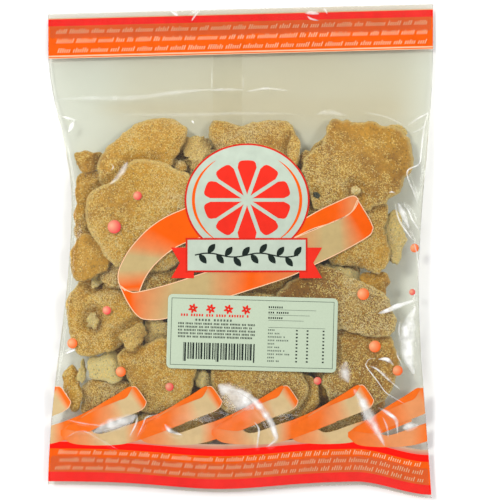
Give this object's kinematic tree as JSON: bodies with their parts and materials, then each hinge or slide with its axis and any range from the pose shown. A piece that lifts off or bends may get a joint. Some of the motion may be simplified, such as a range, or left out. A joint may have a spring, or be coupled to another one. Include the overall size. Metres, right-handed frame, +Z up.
{
  "type": "bag of preserved orange peel",
  "caption": "Sealed clear pillow bag of sugared orange peel with printed bands and ribbons and a paper label, lying on its back.",
  "frame": {"origin": "on the table, under the middle of the box round the lying pack", "axes": "+X to the right and +Y towards the top seal as the front is read, +Z up out of the front"},
  "size_m": [0.16, 0.205, 0.0271],
  "materials": {
    "film_and_filling": "clear glossy film over brown sugared peel",
    "label_paper": "smooth white paper sticker, satin",
    "clear_film": "thin clear glossy film with soft creases",
    "sugared_peel": "rough candied rind and pith, dusted with sugar",
    "sugar": "pale translucent crystals",
    "printing_ink": "opaque ink under glossy film"
  },
  "bodies": {
    "root": {"pack": "film_and_filling", "label": "label_paper"}
  },
  "joints": []
}
